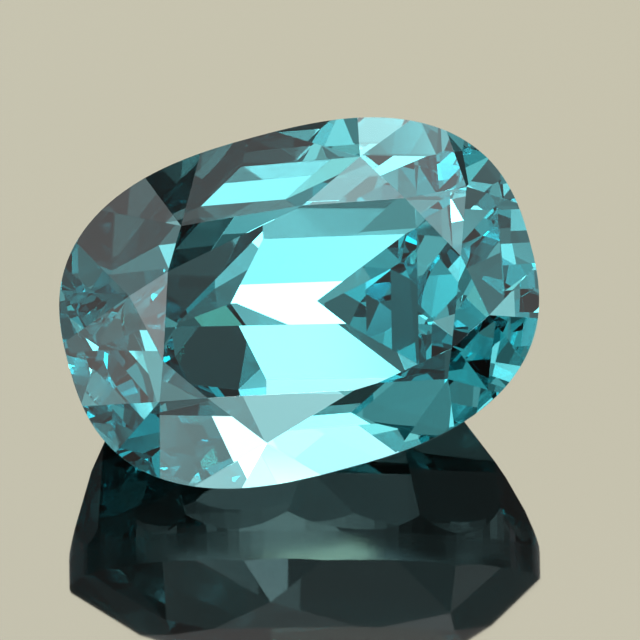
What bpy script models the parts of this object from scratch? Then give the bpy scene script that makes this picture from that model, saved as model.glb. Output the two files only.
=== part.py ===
"""A faceted blue zircon, cut the way a lapidary cuts it.

A preform with the girdle's outline is sliced by one flat plane for each facet:
a brilliant crown on top, and a pavilion in steps that ends in a short keel.
The finished stone is then laid down on one of its pavilion facets.
Run it with: blender --background --python part.py
"""
import math

import bmesh
import bpy
from mathutils import Matrix, Vector, geometry

MM = 0.001

# Girdle outline: a cushion oval, turned away from the facets' own axes
LENGTH = 8.80 * MM
WIDTH = 6.34 * MM
SQUARENESS = 2.57
OUTLINE_TURN = 14.0
OUTLINE_POINTS = 120

# Heights above and below the middle of the girdle
GIRDLE_TOP = 0.26 * MM
GIRDLE_BOTTOM = -0.30 * MM
TABLE_HEIGHT = 1.33 * MM
PREFORM_DEPTH = 6.0 * MM

# Corners closer together than this are taken as one
CUT_TOLERANCE = 0.001 * MM

# Star facets: azimuth, distance of their table edge from the axis, height of the outer tip on the crown
STARS = (
    (-7, 2.87 * MM, 0.85),
    (43, 2.71 * MM, 0.65),
    (93, 1.75 * MM, 0.63),
    (115, 1.55 * MM, 0.80),
    (176, 2.43 * MM, 0.84),
    (229, 2.44 * MM, 0.84),
    (272, 1.68 * MM, 0.66),
    (294, 1.97 * MM, 0.77),
)

# Crown mains: azimuth, and how much closer to the axis than the table's corner they are cut
MAINS = (
    (15, 0.0),
    (74, 0.0),
    (106, 0.0),
    (140, 0.0),
    (195, 0.0),
    (256, 0.0),
    (286, 0.04 * MM),
    (322, 0.0),
)

# The stone lies on its long pavilion facet of azimuth 270, which has this angle
REST_ANGLE = 49.0

# Pavilion: azimuth, angle of the facet that starts at the girdle, then where each
# further step begins, as a distance from the axis, with its angle
PAVILION = (
    (0, 66, (4.15 * MM, 58.5), (3.80 * MM, 53), (2.20 * MM, 34.5)),
    (45, 67.5, (3.50 * MM, 56)),
    (90, 67.5, (2.95 * MM, 55), (1.25 * MM, 44.5)),
    (91, 67.5, (2.95 * MM, 55), (1.25 * MM, 44.5)),
    (120, 67.5, (3.30 * MM, 58.5)),
    (180, 72, (3.95 * MM, 61.5), (3.60 * MM, 58.5), (1.05 * MM, 46)),
    (225, 75.5, (3.55 * MM, 71), (2.40 * MM, 39)),
    (270, 74.5, (3.10 * MM, REST_ANGLE), (0.35 * MM, 40)),
    (300, 78, (2.85 * MM, 52)),
)

# Extra facets right under the girdle, between those of the steps
BREAKS = (22, 67, 105, 150, 202, 247, 285, 330)
BREAK_ANGLE = 80

BLUE = (0.16, 0.55, 0.58, 1.0)
REFRACTIVE_INDEX = 1.95


def clear_scene():
    for item in list(bpy.data.objects):
        bpy.data.objects.remove(item, do_unlink=True)


def outward(azimuth):
    angle = math.radians(azimuth)
    return Vector((math.cos(angle), math.sin(angle), 0.0))


def outline_point(step):
    """One point of the turned superellipse."""
    turn = 2.0 * math.pi * step / OUTLINE_POINTS
    power = 2.0 / SQUARENESS
    x = math.copysign(abs(math.cos(turn)) ** power, math.cos(turn)) * LENGTH / 2
    y = math.copysign(abs(math.sin(turn)) ** power, math.sin(turn)) * WIDTH / 2
    return Matrix.Rotation(math.radians(OUTLINE_TURN), 3, "Z") @ Vector((x, y, 0.0))


def reach(azimuth):
    """How far the outline reaches from the axis in one direction."""
    direction = outward(azimuth)
    return max(direction.dot(outline_point(step)) for step in range(OUTLINE_POINTS))


def halfway(first, second):
    """The azimuth midway between two others, the short way round."""
    return first + ((second - first + 180.0) % 360.0 - 180.0) / 2


def facet(azimuth, angle, point, side):
    """A facet's plane: a point on it and its outward normal. Side is 1 on the crown, -1 below."""
    slope = math.radians(angle)
    normal = outward(azimuth) * math.sin(slope) + Vector((0.0, 0.0, side * math.cos(slope)))
    return Vector(point), normal


def on_axis_line(azimuth, distance, height):
    return outward(azimuth) * distance + Vector((0.0, 0.0, height))


def table_corner(first_star, second_star):
    """Where the table edges of two neighbouring stars cross."""
    first, second = outward(first_star[0]), outward(second_star[0])
    scale = first.x * second.y - first.y * second.x
    x = (first_star[1] * second.y - second_star[1] * first.y) / scale
    y = (first.x * second_star[1] - second.x * first_star[1]) / scale
    return Vector((x, y, TABLE_HEIGHT))


def main_planes():
    """The eight crown mains, each from the girdle's top edge up to a corner of the table."""
    planes = []
    for index, (azimuth, deeper) in enumerate(MAINS):
        corner = table_corner(STARS[index], STARS[(index + 1) % len(STARS)])
        run = reach(azimuth) - outward(azimuth).dot(corner) + deeper
        angle = math.degrees(math.atan2(TABLE_HEIGHT - GIRDLE_TOP, run))
        foot = on_axis_line(azimuth, reach(azimuth), GIRDLE_TOP)
        planes.append(facet(azimuth, angle, foot, 1))
    return planes


def star_tip(first_main, second_main, height):
    """The point at a height where two mains cross."""
    origin, direction = geometry.intersect_plane_plane(*first_main, *second_main)
    return origin + direction * (height - origin.z) / direction.z


def crown_planes():
    """The table, stars, mains and the facets between the mains and the girdle."""
    mains = main_planes()
    planes = [(Vector((0.0, 0.0, TABLE_HEIGHT)), Vector((0.0, 0.0, 1.0)))]
    planes += mains
    for index, (azimuth, distance, share) in enumerate(STARS):
        height = GIRDLE_TOP + (TABLE_HEIGHT - GIRDLE_TOP) * share
        tip = star_tip(mains[index - 1], mains[index], height)
        run = outward(azimuth).dot(tip) - distance
        angle = math.degrees(math.atan2(TABLE_HEIGHT - tip.z, run))
        planes.append(facet(azimuth, angle, tip, 1))
        for main in (MAINS[index - 1], MAINS[index]):
            middle = halfway(azimuth, main[0])
            run = reach(middle) - outward(middle).dot(tip)
            angle = math.degrees(math.atan2(tip.z - GIRDLE_TOP, run))
            planes.append(facet(middle, angle, tip, 1))
    return planes


def pavilion_planes():
    """The stepped facets below the girdle, worked from the girdle in toward the keel."""
    planes = []
    for azimuth, angle, *steps in PAVILION:
        distance, height = reach(azimuth), GIRDLE_BOTTOM
        planes.append(facet(azimuth, angle, on_axis_line(azimuth, distance, height), -1))
        for start, next_angle in steps:
            height -= (distance - start) * math.tan(math.radians(angle))
            distance, angle = start, next_angle
            planes.append(facet(azimuth, angle, on_axis_line(azimuth, distance, height), -1))
    for azimuth in BREAKS:
        foot = on_axis_line(azimuth, reach(azimuth), GIRDLE_BOTTOM)
        planes.append(facet(azimuth, BREAK_ANGLE, foot, -1))
    return planes


def preform():
    """A prism with the girdle's outline, deep enough to hold the whole stone."""
    mesh = bmesh.new()
    rim = [mesh.verts.new(outline_point(step)) for step in range(OUTLINE_POINTS)]
    bmesh.ops.translate(mesh, verts=rim, vec=(0.0, 0.0, -PREFORM_DEPTH))
    bottom = mesh.faces.new(rim)
    sides = bmesh.ops.extrude_face_region(mesh, geom=[bottom])["geom"]
    raised = [item for item in sides if isinstance(item, bmesh.types.BMVert)]
    bmesh.ops.translate(mesh, verts=raised, vec=(0.0, 0.0, 2.0 * PREFORM_DEPTH))
    bmesh.ops.recalc_face_normals(mesh, faces=mesh.faces)
    return mesh


def cut(mesh, plane):
    """Grind one facet: slice the stone with a plane and close the cut."""
    point, normal = plane
    everything = mesh.verts[:] + mesh.edges[:] + mesh.faces[:]
    sliced = bmesh.ops.bisect_plane(
        mesh, geom=everything, dist=CUT_TOLERANCE, plane_co=point, plane_no=normal, clear_outer=True
    )
    edges = [item for item in sliced["geom_cut"] if isinstance(item, bmesh.types.BMEdge)]
    open_edges = [edge for edge in edges if edge.is_boundary]
    if open_edges:
        bmesh.ops.edgeloop_fill(mesh, edges=open_edges)


def lay_down(mesh):
    """Turn the stone onto its resting facet and set it on the ground, centred over the origin."""
    bmesh.ops.rotate(
        mesh, verts=mesh.verts, cent=(0.0, 0.0, 0.0), matrix=Matrix.Rotation(math.radians(REST_ANGLE), 3, "X")
    )
    corners = [vert.co.copy() for vert in mesh.verts]
    lowest = min(corner.z for corner in corners)
    middle_x = (min(corner.x for corner in corners) + max(corner.x for corner in corners)) / 2
    middle_y = (min(corner.y for corner in corners) + max(corner.y for corner in corners)) / 2
    bmesh.ops.translate(mesh, verts=mesh.verts, vec=(-middle_x, -middle_y, -lowest))


def zircon_material():
    material = bpy.data.materials.new("blue_zircon")
    material.use_nodes = True
    shader = material.node_tree.nodes["Principled BSDF"]
    shader.inputs["Base Color"].default_value = BLUE
    shader.inputs["Roughness"].default_value = 0.0
    shader.inputs["Metallic"].default_value = 0.0
    shader.inputs["IOR"].default_value = REFRACTIVE_INDEX
    shader.inputs["Transmission Weight"].default_value = 1.0
    material.diffuse_color = BLUE
    return material


def build_zircon():
    stone = preform()
    for plane in crown_planes() + pavilion_planes():
        cut(stone, plane)
    bmesh.ops.remove_doubles(stone, verts=stone.verts, dist=CUT_TOLERANCE)
    lay_down(stone)
    bmesh.ops.recalc_face_normals(stone, faces=stone.faces)
    mesh = bpy.data.meshes.new("zircon")
    stone.to_mesh(mesh)
    stone.free()
    mesh.materials.append(zircon_material())
    zircon = bpy.data.objects.new("zircon", mesh)
    bpy.context.scene.collection.objects.link(zircon)


clear_scene()
build_zircon()
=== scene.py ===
# Blue zircon lying on its pavilion on a dark, polished plate, in soft studio light.
import math
import bmesh
import bpy
from mathutils import Matrix, Vector


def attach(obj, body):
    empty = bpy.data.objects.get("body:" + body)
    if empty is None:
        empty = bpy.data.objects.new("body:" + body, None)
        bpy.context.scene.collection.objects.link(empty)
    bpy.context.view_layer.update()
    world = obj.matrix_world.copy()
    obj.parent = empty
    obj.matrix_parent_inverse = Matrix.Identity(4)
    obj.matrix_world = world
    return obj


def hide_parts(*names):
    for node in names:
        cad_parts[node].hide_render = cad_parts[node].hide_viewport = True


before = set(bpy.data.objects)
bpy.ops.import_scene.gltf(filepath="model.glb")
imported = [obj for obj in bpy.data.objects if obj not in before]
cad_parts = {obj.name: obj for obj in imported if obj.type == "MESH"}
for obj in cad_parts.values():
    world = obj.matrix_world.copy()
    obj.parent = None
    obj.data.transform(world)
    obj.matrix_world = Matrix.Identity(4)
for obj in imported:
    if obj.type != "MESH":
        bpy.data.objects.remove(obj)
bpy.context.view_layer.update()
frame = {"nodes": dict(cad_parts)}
print("frame loaded:", ", ".join(frame["nodes"]))

mm = 0.001


# Nodes

def newMaterial(name):
    material = bpy.data.materials.new(name)
    material.use_nodes = True
    return material, material.node_tree.nodes, material.node_tree.links


def plug(links, value, socket):
    # a value is either a plain number or the output of another node
    if isinstance(value, bpy.types.NodeSocket):
        links.new(value, socket)
    else:
        socket.default_value = value


def maths(tree, operation, first, second=0.0):
    node = tree.nodes.new("ShaderNodeMath")
    node.operation = operation
    plug(tree.links, first, node.inputs[0])
    plug(tree.links, second, node.inputs[1])
    return node.outputs[0]


def along(tree, vector, direction):
    # how far a vector reaches in a fixed direction
    node = tree.nodes.new("ShaderNodeVectorMath")
    node.operation = "DOT_PRODUCT"
    tree.links.new(vector, node.inputs[0])
    node.inputs[1].default_value = direction
    return node.outputs["Value"]


def ramp(tree, value, fromLow, fromHigh, toLow=0.0, toHigh=1.0):
    node = tree.nodes.new("ShaderNodeMapRange")
    node.interpolation_type = "SMOOTHSTEP"
    plug(tree.links, value, node.inputs["Value"])
    node.inputs["From Min"].default_value = fromLow
    node.inputs["From Max"].default_value = fromHigh
    node.inputs["To Min"].default_value = toLow
    node.inputs["To Max"].default_value = toHigh
    return node.outputs["Result"]


def noise(tree, vector, scale, detail):
    node = tree.nodes.new("ShaderNodeTexNoise")
    tree.links.new(vector, node.inputs["Vector"])
    node.inputs["Scale"].default_value = scale
    node.inputs["Detail"].default_value = detail
    return node.outputs["Fac"]


def objectPoint(tree):
    return tree.nodes.new("ShaderNodeTexCoord").outputs["Object"]


# The stone

zirconLook = {
    "refraction": 1.95,  # zircon bends light nearly as strongly as diamond
    "bodyColour": (0.19, 0.87, 0.905, 1.0),  # what is left of white light inside
    "bodyDensity": 165.0,  # per metre
    "surfaceTint": (1.0, 1.0, 1.0, 1.0),
    "girdleMiddle": Vector((0.0, -0.654, 3.232)) * mm,
    "tilt": 49.0,  # degrees the stone's axis leans toward the camera
    "girdleHalf": 0.27 * mm,  # half the height of the ground band round the stone
    "girdleFade": 0.9,  # share of that half where the ground surface starts to clear
    "girdleRoughness": 0.22,
    "facetRoughness": 0.0,
    "edgeWidth": 0.025 * mm,  # facet junctions are very slightly rounded by polishing
    "sharpAngle": 1.5,  # degrees between two facets before their junction shows
    "flatAngle": 0.05,  # degrees within which triangles belong to one facet
    "mergeDistance": 0.0004 * mm,
}
tilt = math.radians(zirconLook["tilt"])
stoneAxis = Vector((0.0, -math.sin(tilt), math.cos(tilt)))


def zirconMaterial():
    material, nodes, links = newMaterial("blueZirconPolished")
    tree = material.node_tree
    shader = nodes["Principled BSDF"]
    shader.inputs["Base Color"].default_value = zirconLook["surfaceTint"]
    shader.inputs["IOR"].default_value = zirconLook["refraction"]
    shader.inputs["Transmission Weight"].default_value = 1.0
    point = objectPoint(tree)
    middle = zirconLook["girdleMiddle"].dot(stoneAxis)
    height = maths(tree, "ABSOLUTE", maths(tree, "SUBTRACT", along(tree, point, stoneAxis), middle))
    half = zirconLook["girdleHalf"]
    fade = half * zirconLook["girdleFade"]
    roughness = ramp(
        tree, height, fade, half, zirconLook["girdleRoughness"], zirconLook["facetRoughness"]
    )
    links.new(roughness, shader.inputs["Roughness"])
    body = nodes.new("ShaderNodeVolumeAbsorption")
    body.inputs["Color"].default_value = zirconLook["bodyColour"]
    body.inputs["Density"].default_value = zirconLook["bodyDensity"]
    links.new(body.outputs["Volume"], nodes["Material Output"].inputs["Volume"])
    return material


def polishedStone():
    # the solid's own facets, joined up, with each junction rounded by a hair
    shape = bmesh.new()
    shape.from_mesh(bpy.data.objects["zircon"].data)
    bmesh.ops.remove_doubles(shape, verts=shape.verts, dist=zirconLook["mergeDistance"])
    flat = math.radians(zirconLook["flatAngle"])
    bmesh.ops.dissolve_limit(shape, angle_limit=flat, verts=shape.verts, edges=shape.edges)
    limit = math.radians(zirconLook["sharpAngle"])
    junctions = [edge for edge in shape.edges if edge.calc_face_angle(0.0) > limit]
    bmesh.ops.bevel(
        shape,
        geom=junctions,
        offset=zirconLook["edgeWidth"],
        offset_type="OFFSET",
        segments=1,
        affect="EDGES",
        clamp_overlap=True,
    )
    bmesh.ops.recalc_face_normals(shape, faces=shape.faces)
    loose = [edge for edge in shape.edges if len(edge.link_faces) != 2]
    print("stone:", len(shape.faces), "faces,", len(loose), "open edges")
    mesh = bpy.data.meshes.new("zirconPolished")
    shape.to_mesh(mesh)
    shape.free()
    mesh.materials.append(zirconMaterial())
    stone = bpy.data.objects.new("zirconPolished", mesh)
    bpy.context.scene.collection.objects.link(stone)
    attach(stone, "root")
    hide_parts("zircon")


polishedStone()
print("stone finished")


# The plate

plateLook = {
    "half": 1.0,  # metres from its middle to its side
    "airGap": 0.01 * mm,  # the stone rests on specks of dust, so light turns back at its lowest facet
    "colour": (0.0030, 0.0034, 0.0030, 1.0),
    "refraction": 1.6,
    "roughness": 0.012,
    "smearRoughness": 0.05,
    "smearScale": 55.0,
    "smearDetail": 3.0,
    "smearRange": (0.35, 0.8),
}


def plateMaterial():
    material, nodes, links = newMaterial("polishedPlate")
    tree = material.node_tree
    shader = nodes["Principled BSDF"]
    shader.inputs["Base Color"].default_value = plateLook["colour"]
    shader.inputs["IOR"].default_value = plateLook["refraction"]
    smears = noise(tree, objectPoint(tree), plateLook["smearScale"], plateLook["smearDetail"])
    clean, smeared = plateLook["roughness"], plateLook["smearRoughness"]
    roughness = ramp(tree, smears, *plateLook["smearRange"], clean, smeared)
    links.new(roughness, shader.inputs["Roughness"])
    return material


def addPlate():
    half = plateLook["half"]
    top = -plateLook["airGap"]
    corners = [(-half, -half, top), (half, -half, top), (half, half, top), (-half, half, top)]
    mesh = bpy.data.meshes.new("plate")
    mesh.from_pydata(corners, [], [(0, 1, 2, 3)])
    mesh.materials.append(plateMaterial())
    plate = bpy.data.objects.new("plate", mesh)
    bpy.context.scene.collection.objects.link(plate)


addPlate()
print("plate laid")


# Light: a white cloth tent with black cards, soft glows and softboxes, all far away

neutral = (1.0, 1.0, 1.0)
warm = (1.0, 0.96, 0.88)
cool = (0.78, 0.92, 1.0)
backdropColour = (1.0, 0.95, 0.71)

# azimuth it comes from, elevation, width in degrees, brightness, colour
glows = {
    "behind": (90, 50, 14, 0.25, neutral),
    "behindLeft": (102, 37, 6, 1.6, cool),
    "backdropHaze": (84, 46, 7, 2.0, warm),
    "behindRight": (60, 26, 8, 3.0, neutral),
    "highBehindRight": (60, 64, 9, 1.0, neutral),
    "highBehindLeft": (118, 70, 6, 0.8, neutral),
    "highFrontSoft": (277, 53, 6, 1.7, neutral),
    "right": (330, 54, 7, 1.8, neutral),
    "frontLeft": (225, 45, 7, 0.9, neutral),
    "left": (180, 40, 5, 0.4, neutral),
    "lowFrontLeft": (245, 27, 9, 1.0, warm),
    "farLeft": (150, 45, 5, 0.7, neutral),
    "top": (75, 88, 6, 1.0, neutral),
}

# azimuth, elevation, half width and half height in degrees, brightness, colour
softboxes = {
    "backdrop": (90, 40, 7, 5.5, 6.4, backdropColour),
    "lowFront": (262, 21, 10, 7, 2.6, neutral),
    "lowFrontCore": (268, 19, 5, 4, 4.0, neutral),
    "highFront": (272, 58, 6, 4, 6.5, neutral),
    "highFrontRight": (292, 60, 8, 4, 4.5, neutral),
    "lowLeft": (211, 6, 4, 4, 0.5, warm),
    "sideLeft": (196, 16, 5, 4, 2.2, warm),
    "overFront": (275, 70, 6, 3, 3.0, neutral),
    "overLeft": (225, 75, 5, 4, 3.5, neutral),
    "overRight": (315, 72, 5, 4, 3.2, neutral),
    "lowRight": (315, 8, 5, 4, 3.0, cool),
    "sideRight": (18, 6, 6, 3, 2.2, cool),
}

# black cards that darken the tent: azimuth, elevation, width in degrees, how much they block
flags = {
    "aroundLens": (270, 39.6, 9, 1.0),
    "roundBackdrop": (90, 38, 10, 1.0),
    "behindLeft": (150, 22, 20, 0.9),
    "right": (335, 22, 14, 0.9),
    "highRight": (345, 38, 10, 0.7),
    "highLeft": (172, 55, 9, 0.9),
    "overLeft": (200, 65, 9, 0.6),
    "frontLeft": (205, 28, 8, 0.6),
    "overBehindRight": (15, 65, 14, 0.6),
    "overBehindLeft": (126, 60, 12, 0.75),
    "behindRight": (30, 40, 9, 0.6),
}

tent = {
    "horizon": (0.57, 0.57, 0.56),
    "top": (0.47, 0.47, 0.47),
    "boxEdge": 0.012,  # how softly a softbox ends
    "boxSide": 0.1,  # a softbox shows only to directions that lean at least this much its way
    "panels": 7.0,  # how finely the cloth is pieced together
    "panelSoftness": 0.25,
    "panelsFrom": (0.30, 0.50),  # heights between which the even cloth turns into pieced cloth
    "skirt": 0.95,  # brightness of the even cloth near the plate
    "panelDim": 0.15,  # brightness of the darkest piece
    "panelBright": 3.4,  # how much the brightest piece adds to that
    "panelContrast": 2.5,
}


def toward(azimuth, elevation):
    a = math.radians(azimuth)
    e = math.radians(elevation)
    return Vector((math.cos(a) * math.cos(e), math.sin(a) * math.cos(e), math.sin(e)))


def addLight(tree, total, amount, brightness, colour):
    # adds a coloured light of the given amount to the sum so far
    tinted = tree.nodes.new("ShaderNodeVectorMath")
    tinted.operation = "MULTIPLY_ADD"
    tinted.inputs[0].default_value = tuple(brightness * part for part in colour)
    combined = tree.nodes.new("ShaderNodeCombineXYZ")
    for socket in combined.inputs:
        tree.links.new(amount, socket)
    tree.links.new(combined.outputs[0], tinted.inputs[1])
    tree.links.new(total, tinted.inputs[2])
    return tinted.outputs["Vector"]


def dimmed(tree, total, factor):
    scaled = tree.nodes.new("ShaderNodeVectorMath")
    scaled.operation = "SCALE"
    tree.links.new(total, scaled.inputs[0])
    tree.links.new(factor, scaled.inputs["Scale"])
    return scaled.outputs["Vector"]


def glowAmount(tree, direction, azimuth, elevation, width):
    # falls to a half at the given width
    sharpness = math.log(2) / (1 - math.cos(math.radians(width)))
    aside = maths(tree, "SUBTRACT", along(tree, direction, toward(azimuth, elevation)), 1.0)
    return maths(tree, "EXPONENT", maths(tree, "MULTIPLY", aside, sharpness))


def boxAmount(tree, direction, azimuth, elevation, halfWidth, halfHeight):
    centre = toward(azimuth, elevation)
    across = toward(azimuth + 90, 0)
    facing = along(tree, direction, centre)
    ahead = maths(tree, "MAXIMUM", facing, tent["boxSide"])
    inside = maths(tree, "GREATER_THAN", facing, tent["boxSide"])
    for axis, half in ((across, halfWidth), (centre.cross(across), halfHeight)):
        offset = maths(tree, "ABSOLUTE", maths(tree, "DIVIDE", along(tree, direction, axis), ahead))
        reach = math.tan(math.radians(half))
        within = ramp(tree, offset, reach - tent["boxEdge"], reach + tent["boxEdge"], 1.0, 0.0)
        inside = maths(tree, "MULTIPLY", inside, within)
    return inside


def piecedCloth(tree, direction, height):
    # how bright each piece of the cloth is
    panels = tree.nodes.new("ShaderNodeTexVoronoi")
    panels.feature = "SMOOTH_F1"
    panels.inputs["Smoothness"].default_value = tent["panelSoftness"]
    panels.inputs["Scale"].default_value = tent["panels"]
    tree.links.new(direction, panels.inputs["Vector"])
    shade = tree.nodes.new("ShaderNodeSeparateColor")
    tree.links.new(panels.outputs["Color"], shade.inputs["Color"])
    uneven = maths(tree, "POWER", shade.outputs["Red"], tent["panelContrast"])
    uneven = maths(tree, "MULTIPLY", uneven, ramp(tree, height, *tent["panelsFrom"]))
    uneven = maths(tree, "MULTIPLY", uneven, tent["panelBright"])
    even = ramp(tree, height, *tent["panelsFrom"], tent["skirt"], tent["panelDim"])
    return maths(tree, "ADD", uneven, even)


def lightTent():
    world = bpy.data.worlds.new("lightTent")
    world.use_nodes = True
    tree = world.node_tree
    direction = tree.nodes.new("ShaderNodeTexCoord").outputs["Generated"]
    height = maths(tree, "MAXIMUM", along(tree, direction, (0.0, 0.0, 1.0)), 0.0)
    cloth = tree.nodes.new("ShaderNodeMix")
    cloth.data_type = "VECTOR"
    tree.links.new(height, cloth.inputs["Factor"])
    cloth.inputs[4].default_value = tent["horizon"]  # the two ends of a vector mix
    cloth.inputs[5].default_value = tent["top"]
    total = dimmed(tree, cloth.outputs[1], piecedCloth(tree, direction, height))
    for azimuth, elevation, width, share in flags.values():
        blocked = maths(tree, "MULTIPLY", glowAmount(tree, direction, azimuth, elevation, width), share)
        total = dimmed(tree, total, maths(tree, "SUBTRACT", 1.0, blocked))
    for azimuth, elevation, width, brightness, colour in glows.values():
        amount = glowAmount(tree, direction, azimuth, elevation, width)
        total = addLight(tree, total, amount, brightness, colour)
    for azimuth, elevation, halfWidth, halfHeight, brightness, colour in softboxes.values():
        amount = boxAmount(tree, direction, azimuth, elevation, halfWidth, halfHeight)
        total = addLight(tree, total, amount, brightness, colour)
    tree.links.new(total, tree.nodes["Background"].inputs["Color"])
    bpy.context.scene.world = world


lightTent()
print("lights set")


# Camera

cameraView = {
    "elevation": 39.5,  # degrees above the plate
    "roll": 1.1,  # degrees, the picture leans a little to the left
    "distance": 221.4 * mm,  # a long lens from a hand's width away
    "pixelsPerMm": 54.2,  # at the middle of the girdle
    "picturePixels": 640,
    "girdleMiddlePixel": (299.2, 303.5),
    "sensorWidth": 36.0,
    "clip": (0.01, 10.0),
}


def addCamera():
    elevation = math.radians(cameraView["elevation"])
    roll = math.radians(cameraView["roll"])
    right = Vector((1, 0, 0))
    up = Vector((0, math.sin(elevation), math.cos(elevation)))
    back = Vector((0, -math.cos(elevation), math.sin(elevation)))
    rolledRight = right * math.cos(roll) - up * math.sin(roll)
    rolledUp = right * math.sin(roll) + up * math.cos(roll)
    half = cameraView["picturePixels"] / 2
    pixel = mm / cameraView["pixelsPerMm"]
    across = (cameraView["girdleMiddlePixel"][0] - half) * pixel
    above = (half - cameraView["girdleMiddlePixel"][1]) * pixel
    data = bpy.data.cameras.new("camera")
    data.sensor_width = cameraView["sensorWidth"]
    data.lens = data.sensor_width * cameraView["distance"] / (cameraView["picturePixels"] * pixel)
    data.clip_start, data.clip_end = cameraView["clip"]
    camera = bpy.data.objects.new("camera", data)
    target = zirconLook["girdleMiddle"] - rolledRight * across - rolledUp * above
    axes = Matrix((rolledRight, rolledUp, back)).transposed().to_4x4()
    camera.matrix_world = Matrix.Translation(target + back * cameraView["distance"]) @ axes
    bpy.context.scene.collection.objects.link(camera)
    bpy.context.scene.camera = camera


addCamera()

scene = bpy.context.scene
scene.view_settings.view_transform = "Standard"
scene.view_settings.look = "None"
lightPaths = {"max_bounces": 24, "transmission_bounces": 20, "glossy_bounces": 10, "diffuse_bounces": 2}
for setting, value in lightPaths.items():
    setattr(scene.cycles, setting, value)
scene.cycles.caustics_reflective = True
scene.cycles.caustics_refractive = True
print("camera set")
